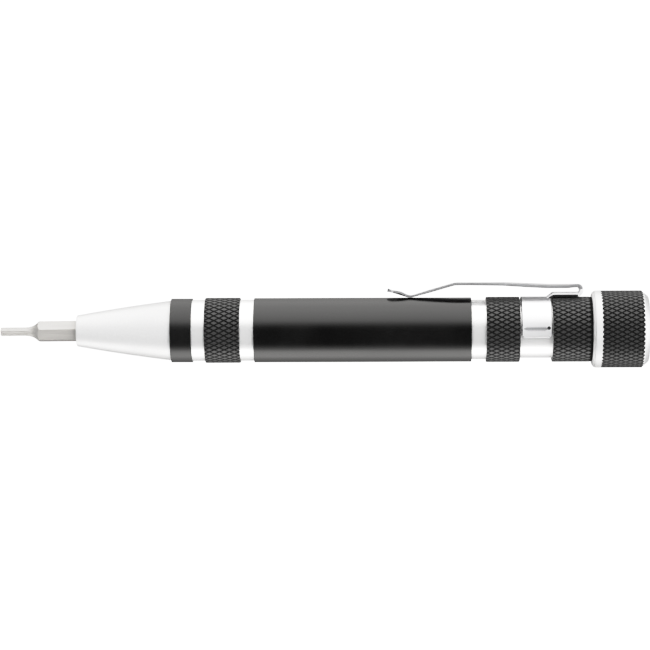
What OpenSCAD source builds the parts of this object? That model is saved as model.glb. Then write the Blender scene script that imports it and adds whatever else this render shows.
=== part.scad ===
// Pocket screwdriver with a clip and spare bits stored in the handle.
// The tool lies along X with its tip towards -X and its clip on top, +Z.
// The origin is the centre of the nose's mouth, on the axis of the tool.

/* [Barrel] */
// Length of the smooth ring behind the nose
ring_l = 4.45; // [2:0.05:8]
// Length of the bright groove in front of the first knurled band
front_cut_l = 2.7; // [1:0.1:5]
// Length of the first knurled band
front_knurl_l = 7.4; // [4:0.1:12]
// Length of the bright groove behind the first knurled band
middle_cut_l = 2.9; // [1:0.1:5]
// Length of the long smooth part of the barrel
land_l = 45.7; // [40:0.1:60]
// Length of the bright groove behind the smooth part
rear_cut_l = 2.95; // [1:0.05:5]
// Length of the second knurled band
rear_knurl_l = 7.15; // [4:0.05:12]
// Length of the groove that holds the clip
clip_groove_l = 6.65; // [5:0.05:8]
// Length of the knurled band next to the cap
end_knurl_l = 8.1; // [8:0.1:12]
// Diameter of the smooth ring
ring_d = 13.4; // [13:0.1:15]
// Diameter of the smooth part of the barrel
land_d = 13.48; // [13:0.02:13.6]
// Diameter over the knurled bands
knurl_d = 13.68; // [13.3:0.02:14]
// Diameter at the floor of the two front grooves
cut_d = 12.84; // [12:0.02:13]
// Diameter at the floor of the rear groove
rear_cut_d = 12.48; // [12:0.02:13]
// Diameter at the floor of the clip groove
clip_floor_d = 11.96; // [11.6:0.02:12.4]
// Diameter of the bore that stores the bits
bore_d = 10.4; // [10.4:0.02:10.8]
// Diameter of the threaded mouth that takes the cap plug
thread_d = 11.1; // [11:0.02:11.4]
// Length of the threaded mouth
thread_l = 7.5; // [5:0.1:7.8]
// Width of the broken edges of each band
edge = 0.15; // [0.05:0.01:0.2]

/* [Nose] */
// Length of the nose cone that shows
nose_l = 20; // [18:0.5:26]
// Diameter of the nose at its mouth
mouth_d = 6.5; // [6.4:0.1:8]
// Diameter of the nose where it meets the barrel
nose_rear_d = 12.58; // [11:0.02:13.2]
// How far the side of the nose bulges beyond a straight cone
nose_bulge = 0.15; // [0:0.05:0.5]
// Radius of the rounded lip at the mouth
lip_r = 0.4; // [0.1:0.05:0.5]
// Length of the spigot that is pressed into the barrel
spigot_l = 7; // [5:0.5:9]
// Outer diameter of the steel bit socket
socket_d = 6; // [5.6:0.1:6.2]
// Distance from the mouth to the front of the bit socket
socket_inset = 1.2; // [0.8:0.1:2]
// Length of the magnet
magnet_l = 3; // [2:0.1:4]
// Diameter of the magnet
magnet_d = 4; // [3:0.1:4]
// Length of the set screw that closes the back of the nose
set_screw_l = 4; // [2:0.1:5]
// Width across the flats of the set screw's key hole
set_screw_key = 2.5; // [2:0.1:3]

/* [Bits] */
// Width of a bit's shank across its flats
bit_af = 4; // [3.9:0.05:4.1]
// Length of a bit
bit_l = 28; // [27:0.5:29]
// How far the fitted bit stands out of the nose
bit_out = 16.25; // [14:0.25:18]
// Length of a bit's thin tip
tip_l = 5.35; // [4:0.05:7]
// Length of the curved flare between the tip and the shank
flare_l = 2.9; // [2:0.1:4]
// Diameter of the fitted star tip
star_d = 1.8; // [1.4:0.1:2.4]
// Diameter of the spare star tip
spare_star_d = 2.6; // [1.4:0.1:3]
// Width of the wide slotted tip
wide_slot_w = 3.4; // [2:0.1:3.6]
// Width of the narrow slotted tip
narrow_slot_w = 2.2; // [1.6:0.1:3.6]
// Diameter of the large cross tip
large_cross_d = 3.2; // [2.4:0.1:3.6]
// Diameter of the small cross tip
small_cross_d = 2.2; // [1.6:0.1:3.6]
// Width across the flats of the hexagon tip
hex_tip_af = 2.5; // [1.5:0.1:3]
// Thickness of a slotted tip at its edge
blade_t = 0.5; // [0.3:0.05:0.8]

/* [Clip] */
// Thickness of the spring strip
clip_t = 0.45; // [0.3:0.05:0.5]
// Width of the strip's arm and foot
clip_w = 4.6; // [3.5:0.1:4.8]
// Width of the arm's rounded end
clip_tip_w = 3.8; // [3:0.1:4.4]
// Length of the band along the barrel
band_l = 6.2; // [4:0.05:6.25]
// Inner radius of the band
band_r = 6.1; // [6.1:0.02:6.4]
// How far the band stands off the groove at its top
band_lift = 0.3; // [0.2:0.05:0.3]
// Angle that the band reaches round the barrel, each way from the top
band_wrap = 108; // [95:1:120]
// Radius of the band's rounded end corners
band_corner_r = 0.9; // [0.3:0.1:1.5]
// Gap between the knurled band and the foot above it
foot_gap = 0.39; // [0.3:0.01:1]
// Middle radius of the bend at the back of the clip
u_r = 0.785; // [0.6:0.005:1.5]
// Distance from the bend's centre to the back of the barrel
u_setback = 2.7; // [2:0.1:4]
// Distance from the bend's centre to the point that touches the barrel
contact_reach = 35.1; // [25:0.1:40]
// Greatest gap between the barrel and the arm
arm_gap = 2.76; // [1.5:0.02:4]
// Slope of the arm down to its contact point
arm_slope = 16; // [12:0.5:25]
// Slope of the lip at the arm's end
lip_slope = 18.5; // [8:0.5:30]
// Length of the lip beyond the contact point
lip_l = 4.75; // [2:0.05:7]
// Radius of the strip at its contact point
contact_r = 3; // [1:0.5:5]
// Radius of the arm's gentle bends
arm_r = 5; // [2:0.5:8]

/* [Cap] */
// Thickness of the gap line between the barrel and the cap
cap_gap = 0.25; // [0.1:0.01:0.5]
// Length of the smooth collar at the front of the cap
collar_l = 2.1; // [1.5:0.1:4]
// Length of the knurled part of the cap
cap_knurl_l = 8.6; // [6:0.1:12]
// Length of the chamfered end of the cap
cap_chamfer_l = 1.1; // [0.5:0.05:2]
// Diameter over the cap's knurl
cap_d = 16.2; // [15.5:0.1:18]
// Diameter of the collar
collar_d = 16.1; // [15.4:0.1:18]
// Diameter of the flat face at the end of the cap
cap_face_d = 13.8; // [10:0.1:14.4]
// Radius of the collar's rounded shoulder
shoulder_r = 1.05; // [0.3:0.05:1.2]
// Diameter of the plug's spigot that holds the cap
plug_spigot_d = 9.8; // [8:0.1:10]
// Length of the plug's spigot inside the cap
plug_spigot_l = 5; // [3:0.1:7]
// Thickness of the sealing ring's round section
seal_t = 0.9; // [0.6:0.05:1]

/* [Bit carrier] */
// Diameter of the carrier's discs
carrier_d = 10.1; // [9.8:0.02:10.2]
// Thickness of the carrier's front and middle discs
disc_t = 1.2; // [0.8:0.1:1.5]
// Thickness of the carrier's back disc
back_disc_t = 1.5; // [1:0.1:3]
// Distance from the carrier's axis to each spare bit's axis
bit_pitch_r = 2.8; // [2.75:0.05:2.85]
// Width of the slot that a spare bit snaps through
snap_w = 3.5; // [3:0.1:3.8]
// Diameter of the carrier's pivot
pivot_d = 4.4; // [3.6:0.1:5]
// Length of the carrier's pivot
pivot_l = 4; // [2.5:0.1:5]
// Diameter of the carrier screw
screw_d = 2; // [1.6:0.1:2.4]
// Diameter of the carrier screw's head
screw_head_d = 3.8; // [3:0.1:4.2]
// Length of the carrier screw's head
screw_head_l = 1.3; // [1:0.1:2]

/* [Hidden] */
$fn = 96;

// Clearances
overrun = 0.5;
press_gap = 0.02;
fit_gap = 0.05;
run_gap = 0.1;
part_gap = 0.3;
bore_gap = 1;

// Places along the tool
ring_x = nose_l;
cut1_x = ring_x + ring_l;
knurl1_x = cut1_x + front_cut_l;
cut2_x = knurl1_x + front_knurl_l;
land_x = cut2_x + middle_cut_l;
cut3_x = land_x + land_l;
knurl2_x = cut3_x + rear_cut_l;
clip_x = knurl2_x + rear_knurl_l;
knurl3_x = clip_x + clip_groove_l;
barrel_end = knurl3_x + end_knurl_l;
cap_x = barrel_end + cap_gap;
cap_knurl_x = cap_x + collar_l;
cap_chamfer_x = cap_knurl_x + cap_knurl_l;
cap_end = cap_chamfer_x + cap_chamfer_l;
spigot_end = ring_x + spigot_l;

// Nose and bit socket
nose_points = 14;
bit_corner_r = bit_af / 2 / cos(30);
socket_af = bit_af + 2 * fit_gap;
socket_corner_r = socket_af / 2 / cos(30);
socket_depth = bit_l - bit_out;
magnet_x = socket_depth + press_gap;
socket_end = magnet_x + magnet_l;
set_screw_x = socket_end + fit_gap;
mouth_hole_r = socket_corner_r + run_gap;
fitted_turn = 20;
key_depth_share = 0.5;

// Bit shanks
shank_break = 0.4;
neck_points = 8;
root_r = bit_af / 2;
tip_break = 0.12;
star_lobes = 6;
star_cut_place_share = 1.09;
star_cut_share = 0.31;
cross_point_share = 0.4;
cross_taper_share = 0.42;
cross_cut_low_share = 0.14;
cross_cut_high_share = 0.6;
cross_cut_turn = 45;

// Clip
foot_z = knurl_d / 2 + foot_gap + clip_t / 2;
arm_z = foot_z + 2 * u_r;
crest_z = land_d / 2 + arm_gap + clip_t / 2;
u_x = barrel_end - u_setback;
contact_x = u_x - contact_reach;
contact_low_z = land_d / 2 + fit_gap + clip_t / 2;
contact_mean = (arm_slope + lip_slope) / 2;
contact_rise = contact_r * (cos((arm_slope - lip_slope) / 2) / cos(contact_mean) - 1);
contact_z = contact_low_z - contact_rise;
contact_p = [contact_x, contact_z];
lip_p = contact_p + lip_l * [-cos(lip_slope), sin(lip_slope)];
crest_p = [contact_x + (crest_z - contact_z) / tan(arm_slope), crest_z];
back_p = [u_x, arm_z];
knee_shares = [0.27, 0.05];
heel_shares = [0.72, 0.88];
band_x = clip_x + (clip_groove_l - band_l) / 2;
band_top_z = band_r + band_lift + clip_t / 2;
step_ahead = 1.05;
step_start_x = knurl3_x - step_ahead;
step_l = 1.2;
step_r = 0.5;
strip_split = 0.15;
corner_points = 6;
u_points = 14;

// Cap plug and its thread
plug_thread_d = thread_d - 2 * fit_gap;
thread_x = barrel_end - thread_l;
seal_seat_l = seal_t + run_gap;
seal_seat_x = barrel_end - seal_seat_l;
relief_d = plug_thread_d - seal_t;
seal_mid_r = relief_d / 2 + fit_gap + seal_t / 2;
seal_seat_d = 2 * (seal_mid_r + seal_t / 2 + run_gap);
stem_d = bore_d - 2 * part_gap;

// Bit carrier
bay_count = 2;
bit_count = 3;
bay_spare = 0.4;
bay_l = bit_l + bay_spare;
carrier_x = spigot_end + bore_gap;
back_disc_x = carrier_x + bay_count * (disc_t + bay_l);
pivot_x = back_disc_x + back_disc_t;
stem_x = pivot_x + part_gap;
pivot_end = pivot_x + pivot_l;
pocket_floor_x = pivot_end + part_gap;
web_t = 1.6;
head_x = pocket_floor_x + web_t + fit_gap;
channel_af = bit_af + 2 * run_gap;
slot_l = bit_pitch_r + bit_af;
driver_slot_w = 0.6;

// A ring or shaft turned about the tool's axis, from points of distance along it and radius
module turned(outline) {
    rotate([0, 90, 0]) rotate_extrude() polygon([for (p = outline) [p.y, p.x]]);
}

// A round rod or hole along the axis
module rod(x0, x1, d) {
    translate([x0, 0, 0]) rotate([0, 90, 0]) cylinder(h = x1 - x0, d = d);
}

// A six-sided rod or hole along the axis, with a corner up
module hex_rod(x0, x1, af) {
    translate([x0, 0, 0]) rotate([0, 90, 0]) cylinder(h = x1 - x0, r = af / 2 / cos(30), $fn = 6);
}

// A raised band with broken edges
function raised(x0, x1, r) = [[x0, r - edge], [x0 + edge, r], [x1 - edge, r], [x1, r - edge]];

// A groove between two bands
function sunk(x0, x1, r) = [[x0, r], [x1, r]];

function unit(v) = v / norm(v);

// The round that joins the lines a to b and b to c
function fillet(a, b, c, r) =
    let (
        u = unit(a - b),
        w = unit(c - b),
        half = acos(u * w) / 2,
        centre = b + unit(u + w) * r / sin(half),
        from = b + u * r / tan(half) - centre,
        to = b + w * r / tan(half) - centre,
        start = atan2(from.y, from.x),
        turn = (atan2(to.y, to.x) - start + 540) % 360 - 180
    )
    [for (i = [0:corner_points]) centre + r * [cos(start + turn * i / corner_points),
                                               sin(start + turn * i / corner_points)]];

// Unit vector across a path at one of its points
function across(path, i) =
    let (
        before = path[max(i - 1, 0)],
        after = path[min(i + 1, len(path) - 1)],
        along = unit(after - before)
    )
    [-along.y, along.x];

// The two sides of a strip that follows a path
function strip_outline(path, t) = concat(
    [for (i = [0:len(path) - 1]) path[i] + across(path, i) * t / 2],
    [for (i = [len(path) - 1:-1:0]) path[i] - across(path, i) * t / 2]);

// A strip that follows a path in the XZ plane
module strip(path, t, w) {
    translate([0, w / 2, 0]) rotate([90, 0, 0]) linear_extrude(w) polygon(strip_outline(path, t));
}

barrel_outline = concat(
    raised(ring_x, cut1_x, ring_d / 2),
    sunk(cut1_x, knurl1_x, cut_d / 2),
    raised(knurl1_x, cut2_x, knurl_d / 2),
    sunk(cut2_x, land_x, cut_d / 2),
    raised(land_x, cut3_x, land_d / 2),
    sunk(cut3_x, knurl2_x, rear_cut_d / 2),
    raised(knurl2_x, clip_x, knurl_d / 2),
    sunk(clip_x, knurl3_x, clip_floor_d / 2),
    raised(knurl3_x, barrel_end, knurl_d / 2),
    [[barrel_end, 0], [ring_x, 0]]);

module barrel() {
    color([0.08, 0.08, 0.09]) difference() {
        turned(barrel_outline);
        rod(ring_x - overrun, barrel_end, bore_d);
        rod(thread_x, barrel_end + overrun, thread_d);
        rod(seal_seat_x, barrel_end + overrun, seal_seat_d);
    }
}

// Radius of the nose at a share of its length
function nose_r(t) = mouth_d / 2 + (nose_rear_d - mouth_d) / 2 * t + 4 * nose_bulge * t * (1 - t);

nose_outline = concat(
    [for (i = [0:corner_points])
        let (a = 90 * i / corner_points)
        [lip_r * (1 - cos(a)), nose_r(lip_r / nose_l) - lip_r * (1 - sin(a))]],
    [for (i = [1:nose_points]) [nose_l * i / nose_points, nose_r(i / nose_points)]],
    [[nose_l, bore_d / 2 - press_gap], [spigot_end - edge, bore_d / 2 - press_gap],
     [spigot_end, bore_d / 2 - press_gap - edge], [spigot_end, 0], [0, 0]]);

module nose_cone() {
    color([0.86, 0.86, 0.87]) difference() {
        turned(nose_outline);
        rod(-overrun, socket_inset + overrun, 2 * mouth_hole_r);
        rod(socket_inset, spigot_end + overrun, socket_d + 2 * press_gap);
    }
}

module bit_socket() {
    color([0.6, 0.6, 0.6]) difference() {
        rod(socket_inset, socket_end, socket_d);
        rotate([fitted_turn, 0, 0]) hex_rod(socket_inset - overrun, socket_end + overrun, socket_af);
    }
}

module bit_magnet() {
    color([0.7, 0.7, 0.72]) turned([
        [magnet_x, 0], [magnet_x, magnet_d / 2 - edge], [magnet_x + edge, magnet_d / 2],
        [socket_end - edge, magnet_d / 2], [socket_end, magnet_d / 2 - edge], [socket_end, 0]]);
}

module set_screw() {
    color([0.25, 0.25, 0.26]) difference() {
        turned([
            [set_screw_x, 0], [set_screw_x, socket_d / 2 - edge], [set_screw_x + edge, socket_d / 2],
            [set_screw_x + set_screw_l - edge, socket_d / 2],
            [set_screw_x + set_screw_l, socket_d / 2 - edge], [set_screw_x + set_screw_l, 0]]);
        hex_rod(set_screw_x + set_screw_l * key_depth_share, set_screw_x + set_screw_l + overrun,
                set_screw_key);
    }
}

// The six-sided shank with chamfered ends, from the flare to the back of a bit
module shank() {
    intersection() {
        hex_rod(tip_l + flare_l, bit_l, bit_af);
        turned([
            [tip_l + flare_l, 0], [tip_l + flare_l, root_r - fit_gap],
            [tip_l + flare_l + shank_break, bit_corner_r + fit_gap],
            [bit_l - shank_break, bit_corner_r + fit_gap], [bit_l, root_r - fit_gap], [bit_l, 0]]);
    }
}

// The hollow flare that widens from a tip to the shank
module flare(tip_r) {
    turned(concat(
        [[tip_l - overrun, 0], [tip_l - overrun, tip_r]],
        [for (i = [0:neck_points])
            let (t = i / neck_points)
            [tip_l + flare_l * t, tip_r + (root_r - fit_gap - tip_r) * t * t]],
        [[tip_l + flare_l + overrun, root_r - fit_gap], [tip_l + flare_l + overrun, 0]]));
}

module star_tip(d) {
    intersection() {
        rotate([0, 90, 0]) linear_extrude(tip_l) difference() {
            circle(d = d);
            for (i = [0:star_lobes - 1]) {
                rotate(i * 360 / star_lobes) translate([d / 2 * star_cut_place_share, 0])
                    circle(r = d / 2 * star_cut_share);
            }
        }
        turned([[0, 0], [0, d / 2 - tip_break], [tip_break, d / 2], [tip_l, d / 2], [tip_l, 0]]);
    }
}

module cross_tip(d) {
    point_r = d / 2 * cross_point_share;
    taper_l = tip_l * cross_taper_share;
    cut_tilt = atan(d * (cross_cut_high_share - cross_cut_low_share) / tip_l);
    difference() {
        turned([[0, 0], [0, point_r], [taper_l, d / 2], [tip_l, d / 2], [tip_l, 0]]);
        for (i = [0:3]) {
            rotate([cross_cut_turn + 90 * i, 0, 0]) translate([0, 0, d * cross_cut_low_share])
                rotate([0, -cut_tilt, 0]) translate([-tip_l / 2, 0, 0])
                    rotate([45, 0, 0]) cube([2 * tip_l, d, d]);
        }
    }
}

module slotted_tip(w) {
    intersection() {
        rod(0, tip_l, w);
        translate([0, w / 2, 0]) rotate([90, 0, 0]) linear_extrude(w) polygon([
            [0, -blade_t / 2], [0, blade_t / 2], [tip_l, w / 2], [tip_l, -w / 2]]);
    }
}

module hex_tip(af) {
    intersection() {
        hex_rod(0, tip_l, af);
        turned([[0, 0], [0, af / 2], [tip_break, af / 2 + tip_break], [tip_l, af], [tip_l, 0]]);
    }
}

module driver_bit() {
    color([0.62, 0.61, 0.59]) translate([-bit_out, 0, 0]) rotate([fitted_turn, 0, 0]) {
        star_tip(star_d);
        flare(star_d / 2);
        shank();
    }
}

// The clip's band round the barrel, with rounded ends, and its foot up to the bend
band_end_z = band_lift + (band_r + clip_t) * cos(band_wrap);
step_low_p = [step_start_x, band_top_z];
step_high_p = [step_start_x + step_l, foot_z];
foot_end_p = [u_x - strip_split, foot_z];
foot_path = concat(
    [[band_x + band_l / 2, band_top_z]],
    fillet([band_x, band_top_z], step_low_p, step_high_p, step_r),
    fillet(step_low_p, step_high_p, foot_end_p, step_r),
    [foot_end_p]);

module band_end_corner(side) {
    x = side < 0 ? band_x : band_x + band_l;
    reach = band_corner_r - press_gap;
    translate([x, -band_r * 2, band_end_z]) mirror([side < 0 ? 0 : 1, 0, 0]) difference() {
        translate([-overrun, 0, -overrun]) cube([reach + overrun, band_r * 4, reach + overrun]);
        translate([reach, -overrun, reach]) rotate([-90, 0, 0])
            cylinder(h = band_r * 4 + 2 * overrun, r = band_corner_r);
    }
}

module clip_band() {
    color([0.75, 0.75, 0.76]) {
        difference() {
            translate([band_x, 0, band_lift]) rotate([0, 90, 0]) rotate([0, 0, 180 - band_wrap])
                rotate_extrude(angle = 2 * band_wrap) translate([band_r, 0]) square([clip_t, band_l]);
            band_end_corner(-1);
            band_end_corner(1);
        }
        strip(foot_path, clip_t, clip_w);
    }
}

// The springy arm, from the bend at its back to the lip
function between(a, b, shares) = [a.x + (b.x - a.x) * shares.x, a.y + (b.y - a.y) * shares.y];
knee_p = between(crest_p, back_p, knee_shares);
heel_p = between(crest_p, back_p, heel_shares);
arm_path = concat(
    [lip_p],
    fillet(lip_p, contact_p, crest_p, contact_r),
    fillet(contact_p, crest_p, knee_p, arm_r),
    fillet(crest_p, knee_p, heel_p, arm_r),
    fillet(knee_p, heel_p, back_p, arm_r),
    [for (i = [0:u_points])
        let (a = 90 - 180 * i / u_points)
        [u_x + u_r * cos(a), foot_z + u_r + u_r * sin(a)]]);

module clip_arm() {
    tip_x = lip_p.x + clip_tip_w / 2;
    color([0.75, 0.75, 0.76]) intersection() {
        strip(arm_path, clip_t, clip_w);
        translate([0, 0, -overrun]) linear_extrude(arm_z + crest_z) union() {
            translate([tip_x, 0]) circle(d = clip_tip_w);
            polygon([
                [tip_x, -clip_tip_w / 2], [crest_p.x, -clip_w / 2],
                [barrel_end, -clip_w / 2], [barrel_end, clip_w / 2],
                [crest_p.x, clip_w / 2], [tip_x, clip_tip_w / 2]]);
        }
    }
}

cap_outline = concat(
    [[cap_x, 0]],
    [for (i = [0:corner_points])
        let (a = 90 * i / corner_points)
        [cap_x + shoulder_r * (1 - cos(a)), collar_d / 2 - shoulder_r * (1 - sin(a))]],
    [[cap_knurl_x, collar_d / 2], [cap_knurl_x, cap_d / 2], [cap_chamfer_x, cap_d / 2],
     [cap_end, cap_face_d / 2], [cap_end, 0]]);

module end_cap() {
    color([0.85, 0.85, 0.86]) difference() {
        turned(cap_outline);
        rod(cap_x - overrun, cap_x + plug_spigot_l + part_gap, plug_spigot_d + 2 * press_gap);
    }
}

module cap_plug() {
    color([0.8, 0.8, 0.81]) difference() {
        union() {
            rod(stem_x, thread_x + part_gap, stem_d);
            turned([
                [thread_x + part_gap, 0], [thread_x + part_gap, plug_thread_d / 2 - edge],
                [thread_x + part_gap + edge, plug_thread_d / 2],
                [seal_seat_x - edge, plug_thread_d / 2], [seal_seat_x, plug_thread_d / 2 - edge],
                [seal_seat_x, relief_d / 2], [cap_x, relief_d / 2], [cap_x, plug_spigot_d / 2],
                [cap_x + plug_spigot_l, plug_spigot_d / 2], [cap_x + plug_spigot_l, 0]]);
        }
        rod(stem_x - overrun, pocket_floor_x, pivot_d + 2 * fit_gap);
        rod(stem_x, cap_x, screw_d + 2 * fit_gap);
        rod(pocket_floor_x + web_t, cap_x + plug_spigot_l + overrun, screw_head_d + 2 * part_gap);
    }
}

module seal_ring() {
    color([0.05, 0.05, 0.05]) translate([seal_seat_x + seal_seat_l / 2, 0, 0]) rotate([0, 90, 0])
        rotate_extrude() translate([seal_mid_r, 0]) circle(d = seal_t);
}

// One channel of the carrier, open outwards, that a spare bit snaps into
module channel() {
    translate([bit_pitch_r, 0]) circle(r = channel_af / 2 / cos(30), $fn = 6);
    translate([bit_pitch_r, -snap_w / 2]) square([slot_l, snap_w]);
}

module bit_carrier() {
    color([0.2, 0.2, 0.21]) difference() {
        union() {
            rod(carrier_x, pivot_x, carrier_d);
            rod(pivot_x, pivot_end, pivot_d);
        }
        for (bay = [0:bay_count - 1]) {
            for (k = [0:bit_count - 1]) {
                translate([carrier_x + disc_t + bay * (disc_t + bay_l), 0, 0]) rotate([0, 90, 0])
                    rotate(180 + k * 360 / bit_count) linear_extrude(bay_l) channel();
            }
        }
        rod(back_disc_x, pivot_end + overrun, screw_d + 2 * press_gap);
    }
}

module carrier_screw() {
    color([0.55, 0.55, 0.56]) difference() {
        union() {
            rod(back_disc_x + part_gap, head_x + overrun, screw_d);
            turned([
                [head_x, 0], [head_x, screw_head_d / 2], [head_x + screw_head_l - edge, screw_head_d / 2],
                [head_x + screw_head_l, screw_head_d / 2 - edge], [head_x + screw_head_l, 0]]);
        }
        translate([head_x + screw_head_l / 2, -screw_head_d, -driver_slot_w / 2])
            cube([screw_head_l, 2 * screw_head_d, driver_slot_w]);
    }
}

// A spare bit's place in the carrier: its bay and its channel
module stored(bay, k) {
    rotate([-k * 360 / bit_count, 0, 0])
        translate([carrier_x + disc_t + bay * (disc_t + bay_l) + bay_spare / 2, 0, bit_pitch_r])
            children();
}

module spare_bit_slotted_wide() {
    color([0.6, 0.6, 0.6]) stored(0, 0) {
        slotted_tip(wide_slot_w);
        flare(wide_slot_w / 2);
        shank();
    }
}

module spare_bit_slotted_narrow() {
    color([0.6, 0.6, 0.6]) stored(0, 1) {
        slotted_tip(narrow_slot_w);
        flare(narrow_slot_w / 2);
        shank();
    }
}

module spare_bit_cross_large() {
    color([0.6, 0.6, 0.6]) stored(0, 2) {
        cross_tip(large_cross_d);
        flare(large_cross_d / 2);
        shank();
    }
}

module spare_bit_cross_small() {
    color([0.6, 0.6, 0.6]) stored(1, 0) {
        cross_tip(small_cross_d);
        flare(small_cross_d / 2);
        shank();
    }
}

module spare_bit_star() {
    color([0.6, 0.6, 0.6]) stored(1, 1) {
        star_tip(spare_star_d);
        flare(spare_star_d / 2);
        shank();
    }
}

module spare_bit_hex() {
    color([0.6, 0.6, 0.6]) stored(1, 2) {
        hex_tip(hex_tip_af);
        flare(hex_tip_af / 2);
        shank();
    }
}

barrel();
nose_cone();
bit_socket();
bit_magnet();
set_screw();
driver_bit();
clip_band();
clip_arm();
end_cap();
cap_plug();
seal_ring();
bit_carrier();
carrier_screw();
spare_bit_slotted_wide();
spare_bit_slotted_narrow();
spare_bit_cross_large();
spare_bit_cross_small();
spare_bit_star();
spare_bit_hex();
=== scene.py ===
import math

import bmesh
import bpy
from mathutils import Matrix, Vector


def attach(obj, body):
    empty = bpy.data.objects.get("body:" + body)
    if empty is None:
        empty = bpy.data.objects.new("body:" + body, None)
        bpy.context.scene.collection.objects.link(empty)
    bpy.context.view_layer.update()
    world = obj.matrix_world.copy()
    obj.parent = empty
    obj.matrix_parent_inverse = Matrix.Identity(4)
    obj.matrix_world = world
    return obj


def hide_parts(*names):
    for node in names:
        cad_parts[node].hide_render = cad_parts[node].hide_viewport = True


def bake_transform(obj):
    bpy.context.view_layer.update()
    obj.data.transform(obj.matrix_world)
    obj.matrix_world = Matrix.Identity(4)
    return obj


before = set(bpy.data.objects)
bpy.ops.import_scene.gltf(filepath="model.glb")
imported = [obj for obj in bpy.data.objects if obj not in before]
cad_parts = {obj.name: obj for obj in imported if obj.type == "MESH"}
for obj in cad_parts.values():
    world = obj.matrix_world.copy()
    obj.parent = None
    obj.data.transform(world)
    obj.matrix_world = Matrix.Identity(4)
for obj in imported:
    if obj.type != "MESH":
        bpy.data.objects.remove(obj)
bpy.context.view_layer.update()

MM = 0.001
TAU = 2 * math.pi

# Places along the tool, in millimetres, as in the part's source
NOSE_L = 20.0
CUT1, KNURL1, CUT2, LAND, CUT3 = 24.45, 27.15, 34.55, 37.45, 83.0
KNURL2, CLIP, KNURL3, BARREL_END = 86.08, 93.12, 99.9, 108.0
CAP_X, CAP_KNURL, CAP_CHAMFER, CAP_END = 108.25, 110.05, 118.95, 120.05
RIM_X, SEAT_X, THREAD_X = BARREL_END - 0.25, BARREL_END - 1.0, BARREL_END - 7.5

# Radii of the barrel, from its outside to its bore, and of the cap
R_RING, R_LAND, R_KNURL, R_RIM = 6.72, 6.77, 6.85, 6.80
R_CUT, R_REAR_CUT, R_CLIP_FLOOR = 6.42, 6.24, 5.98
R_UNDER_FRONT, R_UNDER_REAR = 6.3, 6.2    # below the knurls' teeth
R_SEAT, R_THREAD, R_BORE = 6.1, 5.55, 5.2
R_CAP, R_COLLAR, R_FACE, SHOULDER = 8.1, 8.09, 6.9, 0.9
R_UNDER_CAP, R_CHAMFER, R_CAP_HOLE = 7.5, 7.70, 5.6

EDGE = 0.05    # a broken edge
HAIR = 0.02    # the finest edge


# Materials


def new_material(name):
    """A material, its node tree and its surface node."""
    m = bpy.data.materials.new(name)
    m.use_nodes = True
    nt = m.node_tree
    bsdf = nt.nodes["Principled BSDF"]
    return m, nt, bsdf


def put(nt, kind, **values):
    """A new node with its settings."""
    n = nt.nodes.new(kind)
    for k, v in values.items():
        setattr(n, k, v)
    return n


def stretched(nt, sx, sy, sz):
    """Object coordinates, stretched so that noise runs along or across the tool."""
    tc = put(nt, "ShaderNodeTexCoord")
    mp = put(nt, "ShaderNodeMapping")
    mp.inputs["Scale"].default_value = (sx, sy, sz)
    nt.links.new(tc.outputs["Object"], mp.inputs["Vector"])
    return mp.outputs["Vector"]


def noise(nt, vec, detail, rough):
    """Noise with one wave to each unit of its coordinates."""
    n = put(nt, "ShaderNodeTexNoise")
    n.inputs["Scale"].default_value = 1.0
    n.inputs["Detail"].default_value = detail
    n.inputs["Roughness"].default_value = rough
    nt.links.new(vec, n.inputs["Vector"])
    return n.outputs["Fac"]


def ramp(nt, fac, stops):
    """A colour ramp. A stop is a place with a colour, or with one number for a grey."""
    r = put(nt, "ShaderNodeValToRGB")
    els = r.color_ramp.elements
    while len(els) < len(stops):
        els.new(0.5)
    for e, (pos, col) in zip(els, stops):
        e.position = pos
        e.color = (col[0], col[1], col[2], 1) if isinstance(col, tuple) else (col, col, col, 1)
    nt.links.new(fac, r.inputs["Fac"])
    return r.outputs["Color"]


def bump(nt, bsdf, height, strength, distance, under=None):
    """A bump on the surface, on top of the one that is under it."""
    b = put(nt, "ShaderNodeBump")
    b.inputs["Strength"].default_value = strength
    b.inputs["Distance"].default_value = distance
    nt.links.new(height, b.inputs["Height"])
    if under is not None:
        nt.links.new(under, b.inputs["Normal"])
    nt.links.new(b.outputs["Normal"], bsdf.inputs["Normal"])
    return b.outputs["Normal"]


LINE_HEIGHT, GRAIN_HEIGHT = 0.00002, 0.00004    # metres
GRAIN_SCALE, PATCH_SCALE = 9000, 90             # waves of noise a metre
LOW_STOP, HIGH_STOP = 0.3, 0.7                  # where the noise reaches its two colours
TURNED_LINES = (9000, 160, 160)                 # noise drawn out round the tool
DRAWN_LINES = (120, 5000, 5000)                 # noise drawn out along the tool
BIT_LINES = (120, 6000, 6000)


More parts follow.
